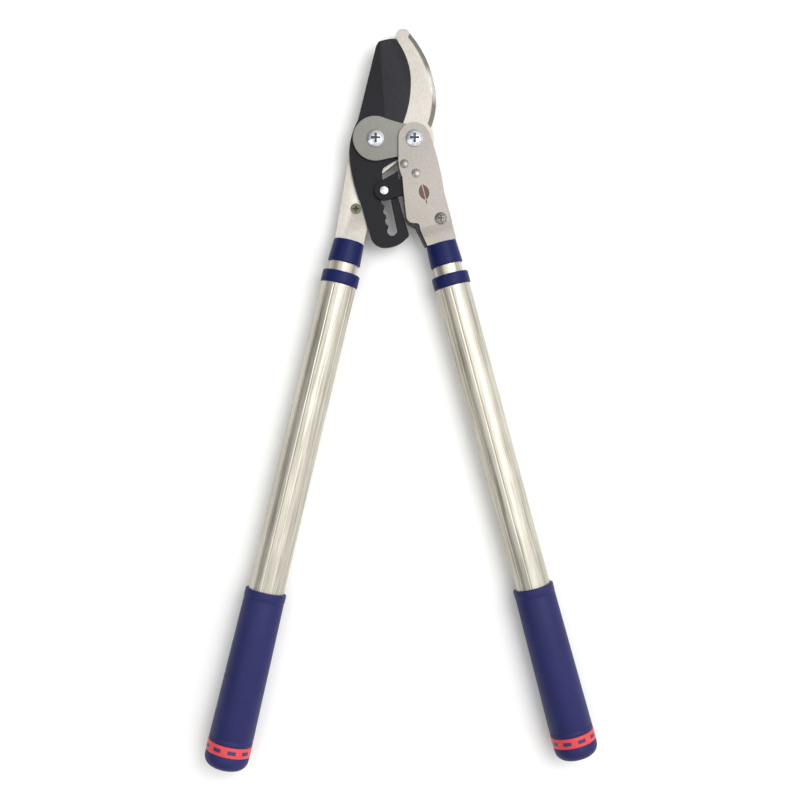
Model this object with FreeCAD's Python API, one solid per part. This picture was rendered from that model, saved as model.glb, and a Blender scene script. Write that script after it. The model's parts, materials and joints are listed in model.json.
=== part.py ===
"""Telescopic bypass loppers with a notched blade tail, one STEP file per separate piece.

Lengths are in millimetres and angles in degrees.  The pieces are drawn about the blade pivot,
with +X to the right, +Y towards the jaws and +Z towards the front face, with the jaws closed.
At the end the whole tool is moved so that its origin is the middle of its footprint.
"""
import FreeCAD
import Part
import math
import os

Vector = FreeCAD.Vector

# --- Pivots and linkage, measured from the blade pivot ------------------------------------
PIVOT_SPACING = 36.0          # blade pivot to handle pivot
HANDLE_PIVOT = (PIVOT_SPACING, 0.0)
LINK_PIVOT = (37.5, -32.6)    # where the link turns on the right plates
SPRING_POST = (26.7, -24.0)   # rivet that holds the fixed leg of the spring
NOTCH_TOP = (8.1, -48.5)      # first notch of the blade's tail, where the pin sits
NOTCH_SLANT = 11.5            # slant of the row of notches from straight down
NOTCH_PITCH = 9.5
NOTCH_COUNT = 5

# --- Layers, front to rear -----------------------------------------------------------------
BLADE_THICKNESS = 4.0
BLADE_BACK_Z = -1.0
HOOK_THICKNESS = 5.0
LINK_THICKNESS = 3.0
RIGHT_PLATE_THICKNESS = 2.5
BACKING_THICKNESS = 2.5
SLIDE_GAP = 0.1               # between flat faces that slide over each other
PLATE_GAP = 0.2               # between the right plates and the pieces they straddle

BLADE_FRONT_Z = BLADE_BACK_Z + BLADE_THICKNESS
HOOK_FRONT_Z = BLADE_BACK_Z - SLIDE_GAP
HOOK_REAR_Z = HOOK_FRONT_Z - HOOK_THICKNESS
LINK_REAR_Z = BLADE_FRONT_Z + SLIDE_GAP
LINK_FRONT_Z = LINK_REAR_Z + LINK_THICKNESS
RIGHT_FRONT_Z = LINK_FRONT_Z + PLATE_GAP
RIGHT_REAR_Z = HOOK_REAR_Z - PLATE_GAP
BACKING_REAR_Z = HOOK_REAR_Z - BACKING_THICKNESS

# --- Blade, hook and brackets ----------------------------------------------------------------
EDGE_LAND = 0.6               # blade thickness left at the cutting edge
GRIND_WIDTH = 26.0            # width of the blade's bevel, ridge to cutting edge
HOOK_BEVEL_DEPTH = 1.8
HOOK_BEVEL_WIDTH = 4.2
TIE_DISC_R = 21.0             # tie plate round the blade pivot
TIE_END_R = 14.6              # tie plate round the handle pivot
RIGHT_END_R = 14.9            # right plates round the handle pivot
RIGHT_SHOULDER = 13.9         # half of the right tang's width above its collar
LEFT_SHOULDER = 13.6
RIGHT_STEP_AT = -12.5         # end of the plates' inward step, down the handle's axis
RIGHT_STEP_RAMP = 5.0
TANG_INNER_Z = 4.0            # inner face of the front right plate below its step
TANG_CLEAR = 0.3              # tang shoulders stop this far above the collar
CORE_PROUD = 1.8              # filler beyond the edge of the right tang

# --- Pivot hardware ------------------------------------------------------------------------
PIVOT_SHANK_R = 5.0
PIVOT_HEAD_R = 7.9
PIVOT_HEAD_HEIGHT = 3.2
BUSH_WALL = 2.0
RUNNING_GAP = 0.05            # radial clearance of a turning fit
WASHER_R = 11.0
WASHER_THICKNESS = 1.2
BLADE_NUT_FLATS = 19.0
BLADE_NUT_HEIGHT = 6.5
HANDLE_NUT_FLATS = 16.0
HANDLE_NUT_HEIGHT = 4.0
CROSS_WIDTH = 2.3
CROSS_SPAN = 9.0
CROSS_DEPTH = 2.0
SMALL_CROSS = 0.62             # cross recess of the small screws against the bolts'
NUT_CLOSED = 2.0               # thickness of the closed end of the blade nut
HANDLE_NUT_CLOSED = 1.2
THROUGH = 1.0                  # cutters reach this far beyond the faces they cut

# --- Link, pin and small hardware ------------------------------------------------------------
PIN_R = 3.1
PIN_HEAD_R = 3.8
PIN_HEAD_HEIGHT = 0.9
NOTCH_R = 4.3
CHANNEL_HALF = 3.7
CHANNEL_SHIFT = 1.2           # the open channel lies this far to the right of the notches
LINK_SWING = 54.0             # turn of the link against the right plates as the jaws open
STOP_GAP = 0.5                # round the spring post in the link's stop notch
RIVET_SHANK_R = 2.4
RIVET_HEAD_R = 4.0
RIVET_HEAD_HEIGHT = 1.3
POST_SHANK_R = 1.8
SPACER_WALL = 1.1
SPRING_WIRE_R = 0.7
SPRING_TURNS = 7
COIL_INWARD = 0.65             # coil's inner wall inside the middle of its wire
LEG_R = 0.62
SPRING_EASE = 0.5             # spring clear of its sleeve and of the rear plate
FREE_LEG = 13.0
SCREW_SHANK_R = 2.5
SCREW_HEAD_R = 5.6
SCREW_HEAD_HEIGHT = 2.3
SCREW_NUT_FLATS = 8.0
SCREW_NUT_HEIGHT = 3.2
SINK_R = 5.0
SINK_DEPTH = 2.4
SINK_GAP = 0.05
RIGHT_SCREW = (60.6, -74.4)
LEFT_SCREW = (-17.9, -64.7)

# --- Handles, measured down each handle's axis from the top of its upper collar --------------
LEFT_ANGLE = -13.2            # turn of the left handle's axis from straight down
RIGHT_ANGLE = 15.0
LEFT_TOP = (-24.1, -95.7)     # top of the left upper collar
RIGHT_REACH = 99.9            # handle pivot to the top of the right upper collar
INNER_TUBE_R = 13.2
OUTER_TUBE_R = 16.25
TUBE_WALL = 1.6
UPPER_COLLAR_TOP_R = 14.2
UPPER_COLLAR_END_R = 15.2
UPPER_COLLAR_LENGTH = 21.2
COLLAR_CAP = 2.0              # thickness of the collar's top over the tube's end
BARE_LENGTH = 9.0             # inner tube seen between the two collars when pushed in
LOCK_COLLAR_R = 17.4
LOCK_COLLAR_LENGTH = 11.6
LOCK_SEAT = 4.5               # outer tube inside the lock collar
LOCK_LIP = 1.5                # lock collar's lip over the collet
COLLET_R = 15.9
BARE_OUTER_LENGTH = 289.0     # outer tube seen between lock collar and grip
TUBE_IN_GRIP = 146.5
OUTER_TUBE_LENGTH = LOCK_SEAT + BARE_OUTER_LENGTH + TUBE_IN_GRIP
EXTENSION = 320.0             # travel of each telescopic handle
LEAST_OVERLAP = 88.0          # inner tube still inside the outer one when pulled out
GRIP_LENGTH = 165.6
GRIP_TOP_R = 19.0
GRIP_END_R = 20.2
GRIP_CORNER_R = 10.0          # rounding of the grip's closed end, tangent to a shallow dome
GRIP_CORNER_TURN = 70.0
BAND_START = 140.2            # from the grip's top
BAND_WIDTH = 9.5
BAND_DEPTH = 1.0
BAND_STAND = 0.15             # band proud of the grip
PLUG_CAP = 1.5                # end plug beyond the outer tube
FLUTE_COUNT = 12
FLUTE_DEPTH = 0.3
FLUTE_R = 1.6
TUBE_FIT = 0.1                # radial clearance of pieces that slide on a tube
TONGUE_HALF = 9.0
TONGUE_LENGTH = 20.0
CORE_LENGTH = 45.0
CROSS_PIN_R = 2.0
CROSS_PIN_RISE = 6.0          # cross pin above the lower edge of the upper collar
BUSH_LENGTH = 26.0            # guide bush, with the lip below the inner tube
BUSH_LIP = 2.0
BUSH_LEAD = 1.0               # taper at the bush's upper end
COLLET_SPLIT = 1.2
PLUG_LENGTH = 12.0            # end plug inside the outer tube
PLUG_LEAD = (1.5, 2.0)        # taper at its upper end, across and along
PLUG_RIM = 0.3                # cap of the plug inside the tube's outer radius
MOULD_EDGE = 0.8              # chamfer of the upper collar
LOCK_EDGE = 0.9               # chamfer of the lock collar
GRIP_LIP = 0.9                # chamfer of the grip's top
GRIP_LIP_LENGTH = 1.6
GRIP_NECK = 0.5               # waist just below the grip's top
GRIP_NECK_AT = 6.0
BACKING_HALF = 7.4            # half width of the backing plate's tongue
BACKING_INSET = 0.6           # backing plate inside the edge of the hook's tang
CORE_STAND = 0.4              # filler above the collar's top
LINK_TIP_R = 9.3
LINK_ROOT_R = 10.5
STOP_START = 20.0             # stop notch begins this many degrees before the post
PIN_TAIL = 0.6                # pin beyond the rear of the blade

RIGHT_TOP = (
    HANDLE_PIVOT[0] + RIGHT_REACH * math.sin(math.radians(RIGHT_ANGLE)),
    HANDLE_PIVOT[1] - RIGHT_REACH * math.cos(math.radians(RIGHT_ANGLE)),
)
LOCK_START = UPPER_COLLAR_LENGTH + BARE_LENGTH
OUTER_START = LOCK_START + LOCK_COLLAR_LENGTH
GRIP_START = OUTER_START + BARE_OUTER_LENGTH


# --- Drawing helpers -------------------------------------------------------------------------
def polar(centre, radius, angle):
    """Point at an angle, in degrees from +X, round a centre."""
    turn = math.radians(angle)
    return (centre[0] + radius * math.cos(turn), centre[1] + radius * math.sin(turn))


def outline(start, *steps):
    """Closed wire at z = 0.  A step is an end point, or a (via, end) pair for an arc."""
    edges = []
    here = start
    for step in steps + (start,):
        if isinstance(step[0], tuple):
            via, end = step
            arc = Part.Arc(Vector(*here, 0), Vector(*via, 0), Vector(*end, 0))
            edges.append(arc.toShape())
        else:
            end = step
            if math.dist(here, end) > 1e-6:
                edges.append(Part.LineSegment(Vector(*here, 0), Vector(*end, 0)).toShape())
        here = end
    return Part.Wire(edges)


def prism(wire, low, high):
    """Solid between two heights over a closed wire at z = 0."""
    face = Part.Face(wire)
    face.translate(Vector(0, 0, low))
    return face.extrude(Vector(0, 0, high - low))


def rod(centre, radius, low, high):
    """Upright cylinder between two heights."""
    return Part.makeCylinder(radius, high - low, Vector(*centre, low))


def hexagon(centre, flats, low, high):
    """Upright hexagonal bar with its corners rounded off like a nut's."""
    corner = flats / math.sqrt(3)
    points = [Vector(*polar(centre, corner, 60 * i), 0) for i in range(7)]
    bar = prism(Part.makePolygon(points), low, high)
    facing = Part.makeCone(flats / 2, flats / 2 + (high - low) * 2, (high - low), Vector(*centre, low))
    return bar.common(facing)


def cross_recess(centre, top):
    """Cutter for the cross-shaped driver recess in a head whose top is at the given height."""
    arms = []
    for turn in (0, 90):
        arm = Part.makeBox(CROSS_SPAN, CROSS_WIDTH, CROSS_DEPTH * 2)
        arm.translate(Vector(-CROSS_SPAN / 2, -CROSS_WIDTH / 2, -CROSS_DEPTH))
        arm.rotate(Vector(0, 0, 0), Vector(0, 0, 1), turn)
        arms.append(arm)
    cutter = arms[0].fuse(arms[1])
    cutter.translate(Vector(*centre, top))
    return cutter


def domed_head(centre, radius, low, height):
    """Shallow domed head with a straight rim one third of its height tall."""
    rim = height / 3
    cap = height - rim
    ball_r = (radius ** 2 + cap ** 2) / (2 * cap)
    ball = Part.makeSphere(ball_r, Vector(*centre, low + height - ball_r))
    return rod(centre, radius, low, low + height).common(ball)


def washer(centre, outer, inner, low, high):
    """Upright ring."""
    return rod(centre, outer, low, high).cut(rod(centre, inner, low - 1, high + 1))


def turned(start, *steps):
    """Solid turned about a handle's axis from a closed profile of (radius, distance down).

    A step is an end point, or a (via, end) pair for an arc.
    """
    face = Part.Face(outline(start, *steps))
    solid = face.revolve(Vector(0, 0, 0), Vector(0, 1, 0), 360)
    return solid.mirror(Vector(0, 0, 0), Vector(0, 1, 0))


def ring_on_axis(outer, inner, start, end):
    """Plain tube about a handle's axis."""
    return turned((inner, start), (outer, start), (outer, end), (inner, end))


def to_handle(shape, side):
    """Move a shape drawn about a handle's own axis to the left or right handle."""
    angle = LEFT_ANGLE if side == "left" else RIGHT_ANGLE
    top = LEFT_TOP if side == "left" else RIGHT_TOP
    moved = shape.copy()
    moved.rotate(Vector(0, 0, 0), Vector(0, 0, 1), angle)
    moved.translate(Vector(*top, 0))
    return moved


def handle_point(side, across, down):
    """Point in the tool's plane, given across and down a handle's own axis."""
    angle = math.radians(LEFT_ANGLE if side == "left" else RIGHT_ANGLE)
    top = LEFT_TOP if side == "left" else RIGHT_TOP
    return (
        top[0] + across * math.cos(angle) + down * math.sin(angle),
        top[1] + across * math.sin(angle) - down * math.cos(angle),
    )


# --- Blade and hook --------------------------------------------------------------------------
def notch(index):
    """Centre of one notch of the blade's tail, counted from the pivot."""
    slant = math.radians(NOTCH_SLANT)
    run = index * NOTCH_PITCH
    return (NOTCH_TOP[0] + run * math.sin(slant), NOTCH_TOP[1] - run * math.cos(slant))


def tail_slot():
    """Cutter for the open channel and the row of round notches on its left side."""
    slant = math.radians(NOTCH_SLANT)
    side = Vector(math.cos(slant), math.sin(slant), 0)
    first = Vector(*notch(0), 0) + side * CHANNEL_SHIFT
    last = Vector(*notch(NOTCH_COUNT - 1), 0) + side * CHANNEL_SHIFT
    half = side * CHANNEL_HALF
    corners = [first - half, first + half, last + half, last - half, first - half]
    low = BLADE_BACK_Z - THROUGH
    high = BLADE_FRONT_Z + THROUGH
    cutter = prism(Part.makePolygon(corners), low, high)
    for end in (first, last):
        cutter = cutter.fuse(rod((end.x, end.y), CHANNEL_HALF, low, high))
    for index in range(NOTCH_COUNT):
        cutter = cutter.fuse(rod(notch(index), NOTCH_R, low, high))
    return cutter.removeSplitter()


def blade_grind():
    """Cutter for the wide bevel on the blade's front, from its ridge to the cutting edge."""
    ridge_low = Vector(9.7, 12.0, 0)
    ridge_high = Vector(3.9, 97.0, 0)
    along = (ridge_high - ridge_low).normalize()
    across = Vector(along.y, -along.x, 0)
    drop = BLADE_THICKNESS - EDGE_LAND
    beyond = 10
    points = [
        ridge_low + Vector(0, 0, BLADE_FRONT_Z),
        ridge_low + across * GRIND_WIDTH + Vector(0, 0, BLADE_FRONT_Z - drop),
        ridge_low + across * (GRIND_WIDTH + beyond) + Vector(0, 0, BLADE_FRONT_Z - drop),
        ridge_low + across * (GRIND_WIDTH + beyond) + Vector(0, 0, BLADE_FRONT_Z + THROUGH),
        ridge_low + Vector(0, 0, BLADE_FRONT_Z + THROUGH),
    ]
    face = Part.Face(Part.makePolygon(points + points[:1]))
    return face.extrude(along * ((ridge_high - ridge_low).Length + beyond))


def cutting_blade():
    """Blade, its pivot hole and its notched tail, in one plate."""
    wire = outline(
        (3.0, 91.4), ((11.0, 94.2), (19.2, 95.4)),
        ((29.2, 78.7), (33.6, 55.0)), ((32.2, 37.5), (26.5, 17.0)),
        ((23.6, -2.0), (20.4, -18.0)), (8.2, -26.0), ((6.4, -31.5), (7.1, -37.4)),
        ((8.8, -39.6), (11.8, -40.4)), ((18.2, -44.0), (21.0, -53.2)),
        (31.0, -87.0), ((31.3, -90.0), (29.6, -92.0)), ((20.2, -98.9), (9.2, -101.3)),
        ((1.2, -99.0), (-3.4, -93.4)),
        (-14.2, -57.3), ((-20.4, -36.8), (-24.2, -13.9)), ((-22.2, 1.6), (-16.1, 17.4)),
        ((-9.5, 45.5), (0.7, 87.0)),
    )
    plate = prism(wire, BLADE_BACK_Z, BLADE_FRONT_Z)
    plate = plate.cut(blade_grind())
    plate = plate.cut(tail_slot())
    bore = PIVOT_SHANK_R + BUSH_WALL + RUNNING_GAP
    return plate.cut(rod((0, 0), bore, BLADE_BACK_Z - THROUGH, BLADE_FRONT_Z + THROUGH))


def hook_wire():
    """Outline of the hooked counter-blade with its tang into the left handle."""
    shoulder = LEFT_SHOULDER
    tang_low = TANG_CLEAR
    return outline(
        (26.6, 105.4), ((29.3, 105.2), (31.3, 103.6)),
        ((47.3, 80.0), (55.7, 54.5)), ((57.4, 33.5), (52.3, 12.5)),
        (polar(HANDLE_PIVOT, 18.6, -10), polar(HANDLE_PIVOT, 17.0, -105)),
        (21.6, -19.5), (7.2, -31.0), ((-4.0, -42.5), (-7.6, -58.5)),
        handle_point("left", shoulder, -tang_low - 14),
        handle_point("left", shoulder, -tang_low),
        handle_point("left", TONGUE_HALF, -tang_low),
        handle_point("left", TONGUE_HALF, TONGUE_LENGTH),
        handle_point("left", -TONGUE_HALF, TONGUE_LENGTH),
        handle_point("left", -TONGUE_HALF, -tang_low),
        handle_point("left", -shoulder, -tang_low),
        (-26.0, -25.5), ((-23.8, -16.0), (-20.4, -4.0)),
        ((-13.0, 17.0), (6.0, 21.2)), ((14.8, 25.0), (20.8, 36.0)),
        ((27.4, 66.0), (21.0, 95.0)), ((19.6, 100.2), (22.3, 104.3)), ((24.2, 105.5), (26.6, 105.4)),
    )


def hook_blade():
    """Hooked counter-blade, with the outer edge of the hook bevelled on its front."""
    plate = prism(hook_wire(), HOOK_REAR_Z, HOOK_FRONT_Z)
    outer = []
    for edge in plate.Edges:
        box = edge.BoundBox
        on_front = abs(box.ZMin - HOOK_FRONT_Z) < 0.01 and box.ZLength < 0.01
        middle = edge.valueAt((edge.FirstParameter + edge.LastParameter) / 2)
        if on_front and middle.x > 30 and middle.y > 5:
            outer.append(edge)
    plate = plate.makeChamfer(HOOK_BEVEL_DEPTH, HOOK_BEVEL_WIDTH, outer)
    holes = (((0, 0), PIVOT_SHANK_R), (HANDLE_PIVOT, PIVOT_SHANK_R), (LEFT_SCREW, SCREW_SHANK_R))
    for centre, radius in holes:
        plate = plate.cut(rod(centre, radius, HOOK_REAR_Z - THROUGH, HOOK_FRONT_Z + THROUGH))
    return plate.cut(countersink(LEFT_SCREW, HOOK_FRONT_Z, SINK_GAP))


def countersink(centre, top, gap):
    """Cone of a countersunk head whose flat top is at the given height, grown by a gap."""
    deep = SINK_DEPTH + gap
    return Part.makeCone(SCREW_SHANK_R, SINK_R + gap, deep, Vector(*centre, top - deep))


def front_tie_plate():
    """Plate that carries both pivots in front of the blade."""
    wire = outline(
        polar((0, 0), TIE_DISC_R, 70), (polar((0, 0), TIE_DISC_R, 180), polar((0, 0), TIE_DISC_R, -75)),
        ((20.0, -17.0), polar(HANDLE_PIVOT, TIE_END_R, -95)),
        (polar(HANDLE_PIVOT, TIE_END_R, 0), polar(HANDLE_PIVOT, TIE_END_R, 112)),
        ((18.5, 16.2), polar((0, 0), TIE_DISC_R, 70)),
    )
    plate = prism(wire, LINK_REAR_Z, LINK_FRONT_Z)
    for centre in ((0, 0), HANDLE_PIVOT):
        plate = plate.cut(rod(centre, PIVOT_SHANK_R, LINK_REAR_Z - THROUGH, LINK_FRONT_Z + THROUGH))
    return plate


# --- Pivot hardware --------------------------------------------------------------------------
def pivot_bolt(centre, seat, end):
    """Domed bolt with a cross recess, from the face it clamps down to its rear end."""
    bolt = rod(centre, PIVOT_SHANK_R, end, seat + 0.5)
    bolt = bolt.fuse(domed_head(centre, PIVOT_HEAD_R, seat, PIVOT_HEAD_HEIGHT))
    return bolt.cut(cross_recess(centre, seat + PIVOT_HEAD_HEIGHT)).removeSplitter()


def closed_nut(centre, flats, height, seat, depth):
    """Nut behind a face at z = seat, closed at its rear, with a blind bore of a given depth."""
    nut = hexagon(centre, flats, seat - height, seat)
    return nut.cut(rod(centre, PIVOT_SHANK_R, seat - depth, seat + THROUGH))


def pivot_pieces():
    """Bolts, nuts, washers, the blade's bush and the spacer between hook and tie plate."""
    gap_low = HOOK_FRONT_Z
    gap_high = LINK_REAR_Z
    blade_seat = HOOK_REAR_Z - WASHER_THICKNESS
    blade_depth = BLADE_NUT_HEIGHT - NUT_CLOSED
    handle_seat = RIGHT_REAR_Z - RIGHT_PLATE_THICKNESS - SLIDE_GAP
    front_seat = RIGHT_FRONT_Z + RIGHT_PLATE_THICKNESS + SLIDE_GAP
    handle_depth = HANDLE_NUT_HEIGHT - HANDLE_NUT_CLOSED
    bush_r = PIVOT_SHANK_R + BUSH_WALL
    return {
        "blade_pivot_bolt": pivot_bolt((0, 0), LINK_FRONT_Z, blade_seat - blade_depth),
        "blade_pivot_washer": washer((0, 0), WASHER_R, PIVOT_SHANK_R, blade_seat, HOOK_REAR_Z),
        "blade_pivot_nut": closed_nut((0, 0), BLADE_NUT_FLATS, BLADE_NUT_HEIGHT, blade_seat, blade_depth),
        "blade_pivot_bush": washer((0, 0), bush_r, PIVOT_SHANK_R, gap_low, gap_high),
        "handle_pivot_bolt": pivot_bolt(HANDLE_PIVOT, front_seat, handle_seat - handle_depth),
        "handle_pivot_nut": closed_nut(
            HANDLE_PIVOT, HANDLE_NUT_FLATS, HANDLE_NUT_HEIGHT, handle_seat, handle_depth),
        "handle_pivot_spacer": washer(HANDLE_PIVOT, bush_r, PIVOT_SHANK_R, gap_low, gap_high),
    }


# --- Right bracket ---------------------------------------------------------------------------
def step_line(above, below):
    """Side-view line of a plate's face that steps inwards, as (distance down, height) points."""
    return [(-RIGHT_REACH - 40, above), (RIGHT_STEP_AT - RIGHT_STEP_RAMP, above),
            (RIGHT_STEP_AT, below), (CORE_LENGTH + 5, below)]


def right_section(lower, upper):
    """Block across the right bracket between two side-view lines."""
    points = [Vector(-90, -down, height) for down, height in lower + upper[::-1]]
    face = Part.Face(Part.makePolygon(points + points[:1]))
    return to_handle(face.extrude(Vector(180, 0, 0)), "right")



def right_plate():
    """Front right plate: pivot end, long side, step and tongue into the handle."""
    shoulder = RIGHT_SHOULDER
    start = -TANG_CLEAR
    wire = outline(
        (21.1, 0.0), (polar(HANDLE_PIVOT, RIGHT_END_R, 95), polar(HANDLE_PIVOT, RIGHT_END_R, 22)),
        ((56.8, -16.0), handle_point("right", shoulder, start - 45)),
        handle_point("right", shoulder, start), handle_point("right", TONGUE_HALF, start),
        handle_point("right", TONGUE_HALF, TONGUE_LENGTH),
        handle_point("right", -TONGUE_HALF, TONGUE_LENGTH),
        handle_point("right", -TONGUE_HALF, start), handle_point("right", -shoulder, start),
        (40.9, -83.6), ((40.1, -80.2), (37.0, -79.2)), ((31.0, -77.6), (28.3, -71.2)),
        ((26.5, -55.5), (24.8, -36.5)), ((21.9, -27.5), (21.1, -17.0)),
    )
    thick = RIGHT_PLATE_THICKNESS
    high = RIGHT_FRONT_Z + thick + THROUGH
    plate = prism(wire, 0, high)
    inner = step_line(RIGHT_FRONT_Z, TANG_INNER_Z)
    outer = step_line(RIGHT_FRONT_Z + thick, TANG_INNER_Z + thick)
    plate = plate.common(right_section(inner, outer))
    holes = (
        (HANDLE_PIVOT, PIVOT_SHANK_R + RUNNING_GAP), (LINK_PIVOT, RIVET_SHANK_R),
        (SPRING_POST, POST_SHANK_R), (RIGHT_SCREW, SCREW_SHANK_R),
    )
    for centre, radius in holes:
        plate = plate.cut(rod(centre, radius, 0, high))
    return plate.removeSplitter()


def to_rear(shape):
    """Mirror a front right piece to the rear side of the bracket."""
    rear = shape.mirror(Vector(0, 0, 0), Vector(0, 0, 1))
    rear.translate(Vector(0, 0, RIGHT_FRONT_Z + RIGHT_REAR_Z))
    return rear


def handle_core(side):
    """Plug in the top of the inner tube, before the tongue is cut from it."""
    return to_handle(turned(
        (0, COLLAR_CAP), (INNER_TUBE_R - TUBE_WALL, COLLAR_CAP),
        (INNER_TUBE_R - TUBE_WALL, CORE_LENGTH), (0, CORE_LENGTH),
    ), side)


def right_tang_core(plates):
    """Black filler between the right plates, which stands proud of their lower left edge."""
    shoulder = RIGHT_SHOULDER
    wire = outline(
        (31.8, -76.8), ((33.8, -79.8), (37.8, -81.0)), (39.2, -84.7),
        handle_point("right", -shoulder - CORE_PROUD, -CORE_STAND),
        handle_point("right", -TONGUE_HALF, -CORE_STAND), handle_point("right", -TONGUE_HALF, COLLAR_CAP + 1),
        handle_point("right", TONGUE_HALF, COLLAR_CAP + 1), handle_point("right", TONGUE_HALF, -CORE_STAND),
        handle_point("right", shoulder, -CORE_STAND), handle_point("right", shoulder, -27.0),
    )
    core = prism(wire, RIGHT_REAR_Z, RIGHT_FRONT_Z)
    mirror_sum = RIGHT_FRONT_Z + RIGHT_REAR_Z
    front = step_line(RIGHT_FRONT_Z, TANG_INNER_Z)
    rear = step_line(RIGHT_REAR_Z, mirror_sum - TANG_INNER_Z)
    core = core.common(right_section(rear, front)).fuse(handle_core("right"))
    for plate in plates:
        core = core.cut(plate)
    core = core.cut(rod(RIGHT_SCREW, SCREW_SHANK_R, RIGHT_REAR_Z - THROUGH, RIGHT_FRONT_Z + THROUGH))
    return core.removeSplitter()


# --- Link, pin, rivets and spring --------------------------------------------------------------
def stop_notch():
    """Cutter for the arc in the link's upper edge in which the spring post travels."""
    post = (SPRING_POST[0] - LINK_PIVOT[0], SPRING_POST[1] - LINK_PIVOT[1])
    reach = math.hypot(*post)
    half = POST_SHANK_R + STOP_GAP
    start = math.degrees(math.atan2(post[1], post[0])) - STOP_START
    turn = STOP_START + LINK_SWING
    height = LINK_THICKNESS + 2 * THROUGH
    block = Part.makeBox(2 * half, 0.01, height, Vector(reach - half, 0, LINK_REAR_Z - THROUGH))
    face = max(block.Faces, key=lambda side: side.Area)
    ring = face.revolve(Vector(0, 0, 0), Vector(0, 0, 1), turn)
    ring.rotate(Vector(0, 0, 0), Vector(0, 0, 1), start)
    ring.translate(Vector(*LINK_PIVOT, 0))
    end = polar(LINK_PIVOT, reach, start + turn)
    return ring.fuse(rod(end, half, LINK_REAR_Z - THROUGH, LINK_FRONT_Z + THROUGH))


def ratchet_link():
    """Black link from its rivet on the right plates to the pin in the notched tail."""
    tip = notch(0)
    lean = math.degrees(math.atan2(LINK_PIVOT[1] - tip[1], LINK_PIVOT[0] - tip[0]))
    wire = outline(
        polar(tip, LINK_TIP_R, lean + 82),
        (polar(tip, LINK_TIP_R, lean + 180), polar(tip, LINK_TIP_R, lean - 95)),
        (24.6, -52.9), polar(LINK_PIVOT, LINK_ROOT_R, lean - 70),
        (polar(LINK_PIVOT, LINK_ROOT_R, lean), polar(LINK_PIVOT, LINK_ROOT_R, lean + 85)),
    )
    link = prism(wire, LINK_REAR_Z, LINK_FRONT_Z)
    spacer_r = RIVET_SHANK_R + SPACER_WALL
    link = link.cut(rod(LINK_PIVOT, spacer_r + RUNNING_GAP, LINK_REAR_Z - THROUGH, LINK_FRONT_Z + THROUGH))
    link = link.cut(stop_notch())
    return link.cut(rod(tip, PIN_R, LINK_REAR_Z - THROUGH, LINK_FRONT_Z + THROUGH))


def ratchet_pin():
    """Pin riveted in the link, reaching back through the notched tail to a retaining head."""
    tip = notch(0)
    pin = rod(tip, PIN_R, BLADE_BACK_Z - PIN_TAIL, LINK_FRONT_Z)
    pin = pin.fuse(domed_head(tip, PIN_HEAD_R, LINK_FRONT_Z, PIN_HEAD_HEIGHT))
    return pin.removeSplitter()


def through_rivet(centre, shank_r):
    """Rivet through both right plates with a domed head at each end."""
    front = RIGHT_FRONT_Z + RIGHT_PLATE_THICKNESS
    head = domed_head(centre, RIVET_HEAD_R, front, RIVET_HEAD_HEIGHT)
    rear = RIGHT_REAR_Z - RIGHT_PLATE_THICKNESS
    rivet = rod(centre, shank_r, rear, front).fuse(head)
    return rivet.fuse(to_rear(head)).removeSplitter()


def link_spacer():
    """Sleeve on the link's rivet that keeps the plates apart and carries link and spring."""
    return washer(LINK_PIVOT, RIVET_SHANK_R + SPACER_WALL, RIVET_SHANK_R, RIGHT_REAR_Z, RIGHT_FRONT_Z)


def close_coil(mean_r, low, high):
    """Closely wound turns between two wire centres, as one sleeve with a rib for each turn."""
    half_pitch = (high - low) / (SPRING_TURNS - 1) / 2
    waist = mean_r + math.sqrt(SPRING_WIRE_R ** 2 - half_pitch ** 2)
    bore = mean_r - COIL_INWARD
    steps = [(mean_r, -(low - SPRING_WIRE_R))]
    for turn in range(SPRING_TURNS):
        middle = low + turn * 2 * half_pitch
        last = turn == SPRING_TURNS - 1
        end = (mean_r, -(middle + SPRING_WIRE_R)) if last else (waist, -(middle + half_pitch))
        steps.append(((mean_r + SPRING_WIRE_R, -middle), end))
    steps.append((bore, -(high + SPRING_WIRE_R)))
    coil = turned((bore, -(low - SPRING_WIRE_R)), *steps)
    coil.rotate(Vector(0, 0, 0), Vector(1, 0, 0), 90)
    coil.translate(Vector(*LINK_PIVOT, 0))
    return coil


def ratchet_spring():
    """Torsion spring round the link's sleeve, one leg on the spring post, one under the link."""
    mean_r = RIVET_SHANK_R + SPACER_WALL + SPRING_EASE + SPRING_WIRE_R
    low = RIGHT_REAR_Z + SPRING_EASE + SPRING_WIRE_R
    high = LINK_REAR_Z - PLATE_GAP - SPRING_WIRE_R
    post = (SPRING_POST[0] - LINK_PIVOT[0], SPRING_POST[1] - LINK_PIVOT[1])
    beside = POST_SHANK_R + SPRING_WIRE_R + RUNNING_GAP
    post_angle = math.degrees(math.atan2(post[1], post[0]) - math.asin((mean_r - beside) / math.hypot(*post)))
    pin_angle = math.degrees(math.atan2(NOTCH_TOP[1] - LINK_PIVOT[1], NOTCH_TOP[0] - LINK_PIVOT[0]))
    spring = close_coil(mean_r, low, high)
    legs = (
        (post_angle + 90, low, post_angle, math.hypot(*post) + 2),
        (pin_angle - 90, high, pin_angle, FREE_LEG),
    )
    for start_angle, height, angle, length in legs:
        start = Vector(*polar(LINK_PIVOT, mean_r, start_angle), height)
        spring = spring.fuse(Part.makeCylinder(LEG_R, length, start, Vector(*polar((0, 0), 1, angle), 0)))
    return spring


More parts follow.
